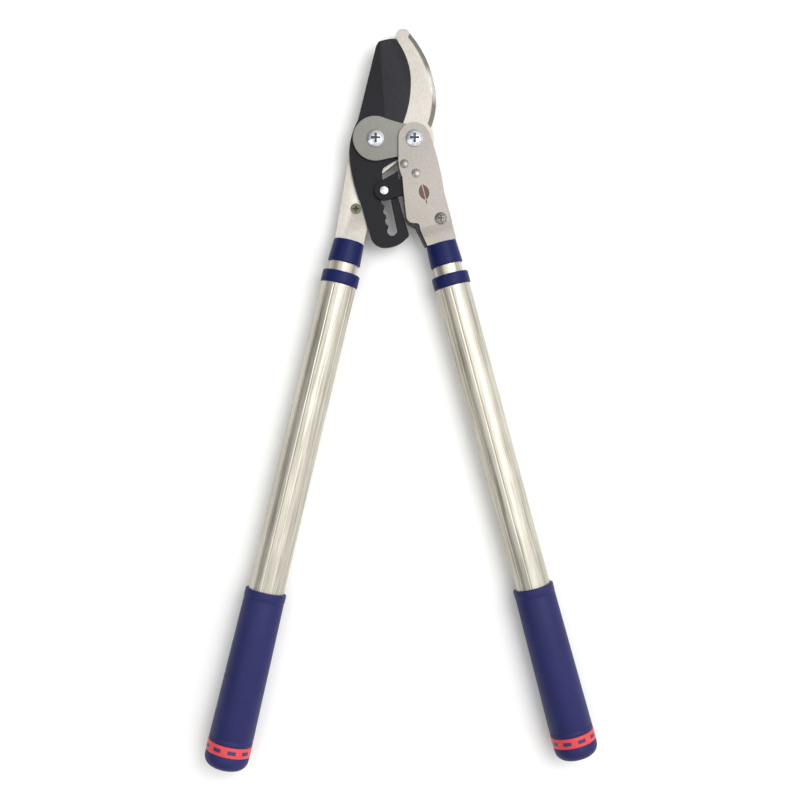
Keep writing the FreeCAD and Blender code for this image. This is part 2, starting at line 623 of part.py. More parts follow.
# --- Tang screws and left bracket ----------------------------------------------------------------
def right_screw():
    """Domed screw with a cross recess through both right plates and their filler."""
    front = RIGHT_FRONT_Z + RIGHT_PLATE_THICKNESS
    rear = RIGHT_REAR_Z - RIGHT_PLATE_THICKNESS - SCREW_NUT_HEIGHT
    screw = rod(RIGHT_SCREW, SCREW_SHANK_R, rear, front + 0.5)
    screw = screw.fuse(domed_head(RIGHT_SCREW, SCREW_HEAD_R, front, SCREW_HEAD_HEIGHT))
    recess = cross_recess((0, 0), 0).scaled(SMALL_CROSS, Vector(0, 0, 0))
    recess.translate(Vector(*RIGHT_SCREW, front + SCREW_HEAD_HEIGHT))
    return screw.cut(recess).removeSplitter()


def left_screw():
    """Countersunk screw, flush with the front of the hook's tang so that the tail clears it."""
    rear = BACKING_REAR_Z - SCREW_NUT_HEIGHT
    screw = rod(LEFT_SCREW, SCREW_SHANK_R, rear, HOOK_FRONT_Z - SINK_DEPTH / 2)
    screw = screw.fuse(countersink(LEFT_SCREW, HOOK_FRONT_Z, 0.0))
    recess = cross_recess((0, 0), 0).scaled(SMALL_CROSS, Vector(0, 0, 0))
    recess.translate(Vector(*LEFT_SCREW, HOOK_FRONT_Z))
    return screw.cut(recess).removeSplitter()


def screw_nut(centre, seat):
    """Small hexagonal nut behind a face at z = seat."""
    nut = hexagon(centre, SCREW_NUT_FLATS, seat - SCREW_NUT_HEIGHT, seat)
    return nut.cut(rod(centre, SCREW_SHANK_R, seat - SCREW_NUT_HEIGHT - THROUGH, seat + THROUGH))


def left_backing_plate():
    """Stiffening plate behind the hook's tang, down into the left handle."""
    shoulder = LEFT_SHOULDER
    half = BACKING_HALF
    edge = shoulder - BACKING_INSET
    wire = outline(
        (-20.5, -35.0), ((-14.5, -30.5), (-9.0, -37.0)), ((-7.4, -47.0), (-8.4, -58.5)),
        handle_point("left", edge, -14.0), handle_point("left", edge, -TANG_CLEAR),
        handle_point("left", half, -TANG_CLEAR), handle_point("left", half, TONGUE_LENGTH),
        handle_point("left", -half, TONGUE_LENGTH), handle_point("left", -half, -TANG_CLEAR),
        handle_point("left", -edge, -TANG_CLEAR), (-28.4, -43.0), ((-26.3, -36.5), (-20.5, -35.0)),
    )
    plate = prism(wire, BACKING_REAR_Z, HOOK_REAR_Z)
    return plate.cut(rod(LEFT_SCREW, SCREW_SHANK_R, BACKING_REAR_Z - THROUGH, HOOK_REAR_Z + THROUGH))


def left_tang_core(tang, backing):
    """Black plug in the top of the left inner tube that grips the tang and backing plate."""
    core = handle_core("left").cut(tang).cut(backing)
    return core.removeSplitter()


# --- Handles -------------------------------------------------------------------------------------
def upper_collar(side, tongues):
    """Moulded collar over the inner tube's end, with a slot in its cap for the tang."""
    collar = to_handle(turned(
        (0, 0), (UPPER_COLLAR_TOP_R - MOULD_EDGE, 0), (UPPER_COLLAR_TOP_R, MOULD_EDGE),
        (UPPER_COLLAR_END_R, UPPER_COLLAR_LENGTH - MOULD_EDGE),
        (UPPER_COLLAR_END_R - MOULD_EDGE, UPPER_COLLAR_LENGTH),
        (INNER_TUBE_R, UPPER_COLLAR_LENGTH), (INNER_TUBE_R, COLLAR_CAP), (0, COLLAR_CAP),
    ), side)
    for tongue in tongues:
        collar = collar.cut(tongue)
    return collar


def inner_tube(side):
    """Bare inner tube, from under the upper collar to the guide bush at its lower end."""
    end = LOCK_START + EXTENSION + LEAST_OVERLAP
    tube = ring_on_axis(INNER_TUBE_R, INNER_TUBE_R - TUBE_WALL, COLLAR_CAP, end)
    return to_handle(tube, side).cut(core_pin(side))


def core_pin(side):
    """Cross pin through collar, inner tube and plug, flush with the collar."""
    down = UPPER_COLLAR_LENGTH - CROSS_PIN_RISE
    half = UPPER_COLLAR_TOP_R - 0.1
    pin = Part.makeCylinder(CROSS_PIN_R, 2 * half, Vector(-half, -down, 0), Vector(1, 0, 0))
    return to_handle(pin, side)


def guide_bush(side):
    """Plain bush fixed on the inner tube's lower end that slides in the outer tube."""
    end = LOCK_START + EXTENSION + LEAST_OVERLAP
    outer = OUTER_TUBE_R - TUBE_WALL - FLUTE_DEPTH - TUBE_FIT
    low = end + BUSH_LIP
    high = low - BUSH_LENGTH
    return to_handle(turned(
        (INNER_TUBE_R, high), (outer, high + BUSH_LEAD), (outer, low), (INNER_TUBE_R - TUBE_WALL, low),
        (INNER_TUBE_R - TUBE_WALL, end), (INNER_TUBE_R, end),
    ), side)


def outer_tube(side):
    """Fluted outer tube, from the lock collar to just short of the grip's closed end."""
    tube = ring_on_axis(OUTER_TUBE_R, OUTER_TUBE_R - TUBE_WALL - FLUTE_DEPTH, OUTER_START - LOCK_SEAT,
                        OUTER_START - LOCK_SEAT + OUTER_TUBE_LENGTH)
    for index in range(FLUTE_COUNT):
        x, z = polar((0, 0), OUTER_TUBE_R + FLUTE_R - FLUTE_DEPTH, (index + 0.5) * 360 / FLUTE_COUNT)
        groove = Part.makeCylinder(FLUTE_R, BARE_OUTER_LENGTH + GRIP_LENGTH,
                                   Vector(x, -OUTER_START - 1.5, z), Vector(0, -1, 0))
        tube = tube.cut(groove)
    return to_handle(tube, side)


def lock_collar(side):
    """Twist collar over the outer tube's mouth; turning it squeezes or frees the collet."""
    tube_r = OUTER_TUBE_R + TUBE_FIT
    mouth = INNER_TUBE_R + TUBE_FIT
    chamfer = LOCK_EDGE
    top = LOCK_START
    end = OUTER_START
    return to_handle(turned(
        (mouth, top), (LOCK_COLLAR_R - chamfer, top), (LOCK_COLLAR_R, top + chamfer),
        (LOCK_COLLAR_R, end - chamfer), (LOCK_COLLAR_R - chamfer, end), (tube_r, end),
        (tube_r, end - LOCK_SEAT - TUBE_FIT), (COLLET_R + TUBE_FIT, end - LOCK_SEAT - TUBE_FIT),
        (COLLET_R + TUBE_FIT, top + LOCK_LIP), (mouth, top + LOCK_LIP),
    ), side)


def lock_collet(side):
    """Split ring on the outer tube's mouth that grips the inner tube."""
    low = LOCK_START + LOCK_LIP + TUBE_FIT
    end = OUTER_START - LOCK_SEAT
    ring = turned(
        (INNER_TUBE_R + TUBE_FIT, low), (COLLET_R, low), (COLLET_R, end),
        (INNER_TUBE_R + TUBE_FIT, end),
    )
    reach = COLLET_R + THROUGH
    corner = Vector(-COLLET_SPLIT / 2, -end - THROUGH, -reach)
    split = Part.makeBox(COLLET_SPLIT, end - low + 2 * THROUGH, reach, corner)
    return to_handle(ring.cut(split), side)


def tube_end_plug(side):
    """Plug in the outer tube's lower end, inside the grip."""
    bore = OUTER_TUBE_R - TUBE_WALL - FLUTE_DEPTH
    end = OUTER_START - LOCK_SEAT + OUTER_TUBE_LENGTH
    high = end - PLUG_LENGTH
    rim = OUTER_TUBE_R - PLUG_RIM
    across, along = PLUG_LEAD
    return to_handle(turned(
        (0, high), (bore - across, high), (bore, high + along), (bore, end), (rim, end),
        (rim, end + PLUG_CAP), (0, end + PLUG_CAP),
    ), side)


def grip(side):
    """Moulded grip with a shallow groove for its band and a domed end."""
    start = GRIP_START
    band = start + BAND_START
    band_end = band + BAND_WIDTH
    end = start + GRIP_LENGTH
    groove_r = GRIP_END_R - BAND_DEPTH
    cap_turn = 90 - GRIP_CORNER_TURN
    corner_end = polar((GRIP_END_R - GRIP_CORNER_R, 0), GRIP_CORNER_R, GRIP_CORNER_TURN)
    cap_r = corner_end[0] / math.sin(math.radians(cap_turn))
    cap_height = cap_r * (1 - math.cos(math.radians(cap_turn)))
    corner = (GRIP_END_R - GRIP_CORNER_R, end - cap_height - corner_end[1])
    corner_end = (corner_end[0], end - cap_height)
    bore_end = OUTER_START - LOCK_SEAT + OUTER_TUBE_LENGTH + PLUG_CAP
    body = turned(
        (OUTER_TUBE_R, start), (GRIP_TOP_R - GRIP_LIP, start), (GRIP_TOP_R, start + GRIP_LIP_LENGTH),
        (GRIP_TOP_R - GRIP_NECK, start + GRIP_NECK_AT), (GRIP_END_R, band), (groove_r, band),
        (groove_r, band_end), (GRIP_END_R, band_end), (GRIP_END_R, corner[1]),
        (polar(corner, GRIP_CORNER_R, GRIP_CORNER_TURN / 2), corner_end),
        (polar((0, end - cap_r), cap_r, 90 - cap_turn / 2), (0, end)),
        (0, bore_end), (OUTER_TUBE_R, bore_end),
    )
    return to_handle(body, side)


def grip_band(side):
    """Coloured band inset in the grip near its end."""
    band = GRIP_START + BAND_START
    ring = ring_on_axis(GRIP_END_R + BAND_STAND, GRIP_END_R - BAND_DEPTH, band, band + BAND_WIDTH)
    return to_handle(ring, side)


# --- Assembly ------------------------------------------------------------------------------------
def right_bracket_pieces():
    """Pieces that turn with the right handle's head end."""
    front = right_plate()
    rear = to_rear(front)
    return {
        "right_plate_front": front,
        "right_plate_rear": rear,
        "right_tang_core": right_tang_core([front, rear]),
        "right_bracket_screw": right_screw(),
        "right_screw_nut": screw_nut(RIGHT_SCREW, RIGHT_REAR_Z - RIGHT_PLATE_THICKNESS),
        "link_pivot_rivet": through_rivet(LINK_PIVOT, RIVET_SHANK_R),
        "spring_post_rivet": through_rivet(SPRING_POST, POST_SHANK_R),
        "link_spacer": link_spacer(),
        "ratchet_spring": ratchet_spring(),
    }


def left_bracket_pieces(tang):
    """Pieces fixed to the hook's tang."""
    backing = left_backing_plate()
    return {
        "left_backing_plate": backing,
        "left_tang_core": left_tang_core(tang, backing),
        "left_bracket_screw": left_screw(),
        "left_screw_nut": screw_nut(LEFT_SCREW, BACKING_REAR_Z),
    }


def handle_pieces(side, tongues):
    """Collars, tubes, grip and fittings of one handle."""
    core = tongues[-1]
    pin = core_pin(side)
    pieces = {
        "upper_collar": upper_collar(side, tongues).cut(pin),
        "core_pin": pin,
        "inner_tube": inner_tube(side),
        "guide_bush": guide_bush(side),
        "lock_collar": lock_collar(side),
        "lock_collet": lock_collet(side),
        "outer_tube": outer_tube(side),
        "tube_end_plug": tube_end_plug(side),
        "grip": grip(side),
        "grip_band": grip_band(side),
        "tang_core": core.cut(pin),
    }
    return {f"{side}_{name}": shape for name, shape in pieces.items()}


def all_pieces():
    """Every piece of the tool, drawn about the blade pivot."""
    pieces = {
        "cutting_blade": cutting_blade(),
        "hook_blade": hook_blade().cut(core_pin("left")),
        "front_tie_plate": front_tie_plate(),
        "ratchet_link": ratchet_link(),
        "ratchet_pin": ratchet_pin(),
    }
    pieces.update(pivot_pieces())
    pieces.update(right_bracket_pieces())
    pieces.update(left_bracket_pieces(pieces["hook_blade"]))
    left = [pieces["hook_blade"], pieces["left_backing_plate"], pieces["left_tang_core"]]
    right = [pieces["right_plate_front"], pieces["right_plate_rear"], pieces["right_tang_core"]]
    pieces.update(handle_pieces("left", left))
    pieces.update(handle_pieces("right", right))
    return pieces


def footprint_shift(pieces):
    """Move that brings the middle of the tool's footprint to the origin."""
    box = FreeCAD.BoundBox()
    for shape in pieces.values():
        box.add(shape.optimalBoundingBox(False, False))
    return Vector(-box.Center.x, -box.Center.y, -box.ZMin)


def main():
    """Build every piece, move it to the tool's frame and write it."""
    pieces = all_pieces()
    shift = footprint_shift(pieces)
    os.makedirs("parts", exist_ok=True)
    for name, shape in pieces.items():
        shape.translate(shift)
        shape.exportStep(f"parts/{name}.step")
        print(name, len(shape.Solids), shape.isValid(), round(shape.Volume / 1000, 3), "cm3")
    for name, point in (("blade pivot", (0, 0)), ("handle pivot", HANDLE_PIVOT),
                        ("link pivot", LINK_PIVOT), ("left top", LEFT_TOP), ("right top", RIGHT_TOP)):
        print(name, (Vector(*point, 0) + shift))


main()
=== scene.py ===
"""Finishes, moulded parts and studio view of a pair of telescopic bypass loppers.

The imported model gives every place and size.  This script refines the metal pieces' edges,
models the soft grips, their bands and the etched mark, dresses every piece in a procedural
material, and sets a pale floor, soft lights and the camera.  Lengths are in metres.
"""

import json
import logging
import math
from dataclasses import dataclass, replace
from enum import Enum

import bmesh
import bpy
from mathutils import Matrix, Vector


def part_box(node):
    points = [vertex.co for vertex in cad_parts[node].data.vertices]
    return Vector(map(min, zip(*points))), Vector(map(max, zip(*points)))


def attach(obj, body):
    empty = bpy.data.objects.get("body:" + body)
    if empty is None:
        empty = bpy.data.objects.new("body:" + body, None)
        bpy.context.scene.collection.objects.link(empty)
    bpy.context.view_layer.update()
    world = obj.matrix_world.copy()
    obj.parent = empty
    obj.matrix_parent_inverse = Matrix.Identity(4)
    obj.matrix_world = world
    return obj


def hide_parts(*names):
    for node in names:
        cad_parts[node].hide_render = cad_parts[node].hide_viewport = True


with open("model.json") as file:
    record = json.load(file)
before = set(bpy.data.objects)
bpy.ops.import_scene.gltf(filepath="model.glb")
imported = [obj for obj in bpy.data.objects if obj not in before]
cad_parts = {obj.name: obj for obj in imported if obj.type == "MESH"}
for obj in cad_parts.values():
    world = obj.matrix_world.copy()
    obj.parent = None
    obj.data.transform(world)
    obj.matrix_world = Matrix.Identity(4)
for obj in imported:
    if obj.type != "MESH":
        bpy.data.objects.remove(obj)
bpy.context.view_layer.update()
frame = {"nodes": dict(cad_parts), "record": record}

log = logging.getLogger("loppers")
MM = 0.001
UNIT_SQUARE = 0.5  # half of its side
UP = Vector((0.0, 0.0, 1.0))

# Sockets of a Mix node that mixes colours, which share their names with its other kinds.
MIX_FACTOR, MIX_BELOW, MIX_ABOVE, MIX_RESULT = 0, 6, 7, 2
# Sockets of a Mix node that mixes plain values.
VALUE_FACTOR, VALUE_BELOW, VALUE_ABOVE = 0, 2, 3

# Every finish blends a fine noise, its grain, with a share of a coarse one, its patches.
GRAIN_DETAIL = 3.0
GRAIN_ROUGHNESS = 0.6
COARSE_DETAIL = 2.0
PATCH_SHARE = 0.35
# Values of the blend that take the lowest and highest roughness, and the two colours.
NOISE_SPREAD = (0.3, 0.7)
SHADE_AT, COLOUR_AT = 0.36, 0.6


# --- Colours and nodes ---------------------------------------------------------------------
def linear(hex_colour: str) -> tuple[float, float, float, float]:
    """Turn an sRGB hex colour into a linear one.

    Args:
        hex_colour: Colour such as "#1c2460".

    Returns:
        Linear red, green, blue and an alpha of one.
    """
    parts = [int(hex_colour[i:i + 2], 16) / 255 for i in (1, 3, 5)]
    return (*[c / 12.92 if c <= 0.04045 else ((c + 0.055) / 1.055) ** 2.4 for c in parts], 1.0)


def add_node(tree: bpy.types.NodeTree, kind: str, settings: dict | None = None,
             values: dict | None = None, links: dict | None = None) -> bpy.types.Node:
    """Add one shader node with its settings, socket values and incoming links.

    Args:
        tree: Node tree that takes the node.
        kind: Node type without its "ShaderNode" prefix.
        settings: Attributes of the node.
        values: Socket values, by socket name or index.
        links: Output sockets to link, by the name or index of this node's input.

    Returns:
        The new node.
    """
    node = tree.nodes.new("ShaderNode" + kind)
    for name, value in (settings or {}).items():
        setattr(node, name, value)
    for name, value in (values or {}).items():
        node.inputs[name].default_value = value
    for name, socket in (links or {}).items():
        tree.links.new(socket, node.inputs[name])
    return node


def ramp(tree: bpy.types.NodeTree, source: bpy.types.NodeSocket,
         stops: list[tuple[float, tuple[float, float, float, float]]]) -> bpy.types.NodeSocket:
    """Colour a value by a ramp.

    Args:
        tree: Node tree of the material.
        source: Value that drives the ramp.
        stops: Positions and linear colours, in order.

    Returns:
        The ramp's colour output.
    """
    node = add_node(tree, "ValToRGB", links={0: source})
    elements = node.color_ramp.elements
    while len(elements) < len(stops):
        elements.new(0.5)
    for element, (position, colour) in zip(elements, stops):
        element.position = position
        element.color = colour
    return node.outputs["Color"]


def object_place(tree: bpy.types.NodeTree) -> bpy.types.NodeSocket:
    """Position in the tool's own frame, so that a pattern stays with its piece as it moves."""
    return add_node(tree, "TexCoord").outputs["Object"]


def maths(tree: bpy.types.NodeTree, operation: str, first: bpy.types.NodeSocket,
          second: bpy.types.NodeSocket | float = 0.0) -> bpy.types.NodeSocket:
    """Work out one sum.

    Args:
        tree: Node tree of the material.
        operation: Kind of sum.
        first: Value that it starts from.
        second: Another value or a constant, where the sum takes two.

    Returns:
        The result.
    """
    if isinstance(second, float):
        return add_node(tree, "Math", {"operation": operation}, {1: second}, {0: first}).outputs[0]
    return add_node(tree, "Math", {"operation": operation}, None, {0: first, 1: second}).outputs[0]


def paint(tree: bpy.types.NodeTree, below: bpy.types.NodeSocket, above: str,
          mask: bpy.types.NodeSocket) -> bpy.types.NodeSocket:
    """Paint one colour over another through a mask.

    Args:
        tree: Node tree of the material.
        below: Colour that is painted over.
        above: Hex colour of the paint.
        mask: How much of the paint shows, from 0 to 1.

    Returns:
        The mixed colour.
    """
    return add_node(tree, "Mix", {"data_type": "RGBA"}, {MIX_ABOVE: linear(above)},
                    {MIX_FACTOR: mask, MIX_BELOW: below}).outputs[MIX_RESULT]


# --- Finishes ------------------------------------------------------------------------------
@dataclass(frozen=True)
class Finish:
    """Base of every finish: the colours, gloss and grain of one real material.

    The grain is a noise of a real size in millimetres.  It shifts the colour a little, sets
    the roughness between two values and lifts the surface as fine bump.
    """

    name: str
    colour: str
    shade: str
    rough_low: float
    rough_high: float
    grain_mm: float
    bump_mm: float = 0.0
    stretch: tuple[float, float, float] = (1.0, 1.0, 1.0)
    turn_deg: float = 0.0
    metallic: float = 0.0
    ior: float = 1.5
    patch_mm: float = 40.0

    def build(self) -> bpy.types.Material:
        """Make the material, or return the one already made under this name."""
        made = bpy.data.materials.get(self.name)
        if made:
            return made
        material = bpy.data.materials.new(self.name)
        material.use_nodes = True
        tree = material.node_tree
        shader = tree.nodes["Principled BSDF"]
        shader.inputs["Metallic"].default_value = self.metallic
        if not self.metallic:
            shader.inputs["IOR"].default_value = self.ior
        where = self.coordinates(tree)
        grain = add_node(tree, "TexNoise", {"noise_dimensions": "3D"},
                         {"Scale": 1 / (self.grain_mm * MM), "Detail": GRAIN_DETAIL,
                          "Roughness": GRAIN_ROUGHNESS}, {"Vector": where})
        patch = add_node(tree, "TexNoise", {"noise_dimensions": "3D"},
                         {"Scale": 1 / (self.patch_mm * MM), "Detail": COARSE_DETAIL},
                         {"Vector": object_place(tree)})
        blend = add_node(tree, "Mix", {"data_type": "FLOAT"}, {VALUE_FACTOR: PATCH_SHARE},
                         {VALUE_BELOW: grain.outputs[0], VALUE_ABOVE: patch.outputs[0]})
        colour = ramp(tree, blend.outputs[0],
                      [(SHADE_AT, linear(self.shade)), (COLOUR_AT, linear(self.colour))])
        tree.links.new(self.dress(tree, colour, where), shader.inputs["Base Color"])
        rough = add_node(tree, "MapRange", None,
                         {"From Min": NOISE_SPREAD[0], "From Max": NOISE_SPREAD[1],
                          "To Min": self.rough_low, "To Max": self.rough_high},
                         {"Value": blend.outputs[0]})
        tree.links.new(rough.outputs[0], shader.inputs["Roughness"])
        if self.bump_mm:
            bump = add_node(tree, "Bump", None, {"Strength": 1.0, "Distance": self.bump_mm * MM},
                            {"Height": grain.outputs[0]})
            tree.links.new(bump.outputs[0], shader.inputs["Normal"])
        return material

    def coordinates(self, tree: bpy.types.NodeTree) -> bpy.types.NodeSocket:
        """Object coordinates, turned about the front's normal and stretched along the grain."""
        turned = add_node(tree, "Mapping", None,
                          {"Rotation": (0.0, 0.0, math.radians(self.turn_deg))},
                          {"Vector": object_place(tree)})
        return add_node(tree, "Mapping", None, {"Scale": self.stretch},
                        {"Vector": turned.outputs[0]}).outputs[0]

    def dress(self, tree: bpy.types.NodeTree, colour: bpy.types.NodeSocket,
              where: bpy.types.NodeSocket) -> bpy.types.NodeSocket:
        """Add what only one kind of finish has to the colour.  The plain finish adds nothing.

        Args:
            tree: Node tree of the material.
            colour: Colour with the grain in it.
            where: Position, turned and stretched along the grain.

        Returns:
            The colour that the surface shows.
        """
        return colour


@dataclass(frozen=True)
class SpeckledFinish(Finish):
    """A finish with fine dark or light specks, as on a coated or stamped surface."""

    speck: str = "#101014"
    speck_mm: float = 0.9
    speck_size: float = 0.16
    speck_strength: float = 0.55

    def dress(self, tree: bpy.types.NodeTree, colour: bpy.types.NodeSocket,
              where: bpy.types.NodeSocket) -> bpy.types.NodeSocket:
        """Scatter specks over the colour."""
        cells = add_node(tree, "TexVoronoi", {"feature": "F1"},
                         {"Scale": 1 / (self.speck_mm * MM), "Randomness": 1.0},
                         {"Vector": object_place(tree)})
        mask = add_node(tree, "MapRange", None,
                        {"From Min": self.speck_size / 2, "From Max": self.speck_size,
                         "To Min": self.speck_strength, "To Max": 0.0},
                        {"Value": cells.outputs["Distance"]})
        return paint(tree, colour, self.speck, mask.outputs[0])


@dataclass(frozen=True)
class StreakFinish(Finish):
    """Drawn and anodised tube: fine dark lines that run the whole length of the tube."""

    line: str = "#7d786d"
    line_mm: float = 1.7
    line_weight: float = 0.5
    line_from: float = 0.5
    line_full: float = 0.36
    line_roughness: float = 0.75

    def dress(self, tree: bpy.types.NodeTree, colour: bpy.types.NodeSocket,
              where: bpy.types.NodeSocket) -> bpy.types.NodeSocket:
        """Lay long lines over the colour."""
        lines = add_node(tree, "TexNoise", {"noise_dimensions": "3D"},
                         {"Scale": 1 / (self.line_mm * MM), "Detail": COARSE_DETAIL,
                          "Roughness": self.line_roughness}, {"Vector": where})
        mask = add_node(tree, "MapRange", None,
                        {"From Min": self.line_from, "From Max": self.line_full,
                         "To Min": 0.0, "To Max": self.line_weight}, {"Value": lines.outputs[0]})
        return paint(tree, colour, self.line, mask.outputs[0])


@dataclass(frozen=True)
class BandedFinish(Finish):
    """A ground bevel with painted light and shade: its facets painted lighter and darker in bands
    along the tool.

    The reach is where the bands start and end along the tool's length, in metres.  Each band
    is a place within the reach, from 0 to 1, and the painted shade that multiplies the colour
    there.
    """

    reach: tuple[float, float] = (0.245, 0.343)
    bands: tuple[tuple[float, str], ...] = ((0.0, "#9b9b96"), (0.27, "#a5a5a0"), (0.36, "#ffffff"),
                                            (0.54, "#ffffff"), (0.66, "#a8a8a3"), (1.0, "#a0a09b"))

    def dress(self, tree: bpy.types.NodeTree, colour: bpy.types.NodeSocket,
              where: bpy.types.NodeSocket) -> bpy.types.NodeSocket:
        """Paint shade over the colour in bands along the tool's length, leaving the lit middle
        white.
        """
        axes = add_node(tree, "SeparateXYZ", links={0: object_place(tree)})
        along = add_node(tree, "MapRange", None,
                         {"From Min": self.reach[0], "From Max": self.reach[1]},
                         {"Value": axes.outputs["Y"]})
        painted_light_and_shade = ramp(tree, along.outputs[0], [(at, linear(shade)) for at, shade in self.bands])
        return add_node(tree, "Mix", {"data_type": "RGBA", "blend_type": "MULTIPLY"},
                        {MIX_FACTOR: 1.0}, {MIX_BELOW: colour, MIX_ABOVE: painted_light_and_shade}).outputs[MIX_RESULT]


@dataclass(frozen=True)
class DashedFinish(Finish):
    """A moulded band with a plain row of printed dashes round its middle."""

    print_colour: str = "#31305e"
    dashes: int = 9
    dash_share: float = 0.55
    half_height_mm: float = 1.7
    centre: tuple[float, float, float] = (0.0, 0.0, 0.0)

    def dress(self, tree: bpy.types.NodeTree, colour: bpy.types.NodeSocket,
              where: bpy.types.NodeSocket) -> bpy.types.NodeSocket:
        """Print the dashes: an angle about the handle's axis against a height along it."""
        moved = add_node(tree, "VectorMath", {"operation": "SUBTRACT"}, {1: self.centre},
                         {0: object_place(tree)})
        upright = add_node(tree, "Mapping", None,
                           {"Rotation": (0.0, 0.0, math.radians(self.turn_deg))},
                           {"Vector": moved.outputs[0]})
        axes = add_node(tree, "SeparateXYZ", links={0: upright.outputs[0]})
        angle = maths(tree, "ARCTAN2", axes.outputs["X"], axes.outputs["Z"])
        part = maths(tree, "FRACT", maths(tree, "MULTIPLY", angle, self.dashes / math.tau))
        dash = maths(tree, "LESS_THAN", part, self.dash_share)
        height = maths(tree, "ABSOLUTE", axes.outputs["Y"])
        row = maths(tree, "LESS_THAN", height, self.half_height_mm * MM)
        return paint(tree, colour, self.print_colour, maths(tree, "MULTIPLY", dash, row))


# Turn that brings each handle's axis to the Y axis, for grain that runs along the handle.
LEFT_TURN = 13.2
RIGHT_TURN = -15.0
# Stretches of the grain along Y: very long on the drawn tubes, short on the ground steel.
TUBE_STRETCH = (1.0, 0.02, 1.0)
GROUND_STRETCH = (1.0, 0.25, 1.0)

# Fluoropolymer-coated carbon steel: near black with a blue cast, satin, with a fine spray texture.
BLADE_COATING = SpeckledFinish("coated_carbon_steel", "#1f1f24", "#16161b", 0.42, 0.55, 1.1, 0.01,
                               ior=1.24, speck="#2e2e35", speck_mm=1.3, speck_size=0.3)
# The same coating over the blade's ground bevel, which is smoother, and painted a little lighter as
# the sheen the bevel catches.
BLADE_GRIND_SHEEN = SpeckledFinish("coated_ground_bevel_painted_sheen", "#27272d", "#1b1b20", 0.4, 0.52, 1.1, 0.006,
                             ior=1.27, speck="#3c3c43", speck_mm=1.3, speck_size=0.3)
# Ground forged steel: pale and satin, with fine scratches along the tool.
HOOK_STEEL = SpeckledFinish("ground_forged_steel", "#b4afa8", "#a09b94", 0.34, 0.48, 1.0, 0.004,
                            stretch=GROUND_STRETCH, metallic=0.75, speck="#9b958d", speck_mm=1.9,
                            speck_size=0.2)
# Nickel-plated pressed steel: pale warm grey, lightly mottled.
PLATE_STEEL = SpeckledFinish("nickel_plated_steel", "#9b958f", "#87827c", 0.38, 0.5, 0.9, 0.005,
                             metallic=0.7, speck="#67615a", speck_mm=1.7, speck_size=0.24)
# Bead-blasted stainless steel: mid grey, matt, with an even grit.
TIE_STEEL = SpeckledFinish("blasted_stainless_steel", "#84837d", "#6c6b65", 0.42, 0.55, 0.7, 0.01,
                           metallic=0.7, speck="#54534d", speck_mm=1.2, speck_size=0.26)
# Black-oxide steel: almost black, oily satin.
LINK_STEEL = Finish("black_oxide_steel", "#18181c", "#111115", 0.4, 0.52, 1.2, 0.008, ior=1.24)
# Bright zinc plate: smooth and mirror-like with a faint cloudiness.
ZINC = Finish("bright_zinc_plate", "#dcdee3", "#b4b7c0", 0.14, 0.26, 2.0, 0.002, metallic=1.0)
# Dull zinc plate on the small rivets and screws.
DULL_ZINC = Finish("dull_zinc_plate", "#98968f", "#6b6962", 0.26, 0.4, 1.2, 0.004, metallic=1.0)
# Driver recesses and their walls: the same zinc, darkened as painted shade for the depth of the
# recess.
RECESS_SHADE = Finish("zinc_recess_painted_shade", "#4b4d59", "#2c2d36", 0.35, 0.5, 0.8, 0.004, metallic=0.6)
# Ground bevel along the hook's back: bare steel, with painted shade near the tip and near the
# plates and a painted highlight between.
BEVEL_STEEL_PAINTED_LIGHT = BandedFinish("ground_bevel_steel_painted_light", "#c4c1b9", "#a19e96", 0.3, 0.42, 0.7, 0.004,
                           stretch=GROUND_STRETCH, metallic=0.85, patch_mm=22.0)
# Countersunk screw under the blade's tail: zinc darkened as painted shade from the tail.
SHADED_SCREW_ZINC = Finish("screw_zinc_painted_shade", "#79775f", "#55533f", 0.35, 0.5, 1.0, 0.004, metallic=0.8)
# Sintered bronze.
BRONZE = Finish("sintered_bronze", "#b5854a", "#8f6534", 0.35, 0.5, 0.8, 0.005, metallic=1.0)
# Drawn spring wire: dark grey, slightly oily.
SPRING_WIRE = Finish("drawn_spring_wire", "#77777a", "#57575b", 0.28, 0.42, 0.8, 0.003,
                     metallic=1.0)
# Glass-filled nylon: black, matt, moulded.  On the right tang's core this black also stands in as
# painted shade in the gap between the right plates.
BLACK_NYLON_AND_SHADE = Finish("black_nylon_and_painted_shade", "#26262a", "#1c1c20", 0.5, 0.65, 0.8, 0.006)
# Moulded ABS: saturated navy, satin, faint orange peel.
NAVY_ABS = Finish("navy_moulded_abs", "#172056", "#101747", 0.36, 0.48, 1.5, 0.006, ior=1.26)
# Soft-touch thermoplastic rubber: navy with a soft violet-blue bloom and a fine moulded grain.
NAVY_RUBBER = Finish("navy_thermoplastic_rubber", "#2b2d62", "#232452", 0.44, 0.58, 0.9, 0.02,
                     ior=1.28)
# Moulded red elastomer with printed dashes.  Each handle makes its own, centred on its band.
BAND_RED = DashedFinish("red_printed_elastomer", "#e2474c", "#cf3a41", 0.42, 0.52, 1.2, 0.006)
# Laser-etched mark: dull brown oxide.
ETCHING = Finish("laser_etched_oxide", "#6b5148", "#3f2d2a", 0.6, 0.75, 0.6)
# Satin anodised aluminium tube, drawn lengthwise, so its grain and lines run along the handle.
TUBE_LEFT = StreakFinish("anodised_aluminium_left", "#d5d0c3", "#b9b4a7", 0.34, 0.46, 0.8, 0.004,
                         stretch=TUBE_STRETCH, turn_deg=LEFT_TURN, metallic=0.8)
TUBE_RIGHT = StreakFinish("anodised_aluminium_right", "#d5d0c3", "#b9b4a7", 0.34, 0.46, 0.8, 0.004,
                          stretch=TUBE_STRETCH, turn_deg=RIGHT_TURN, metallic=0.8)


# --- Mesh helpers --------------------------------------------------------------------------
# Corners closer than this are one corner.
SAME_PLACE = 1e-6


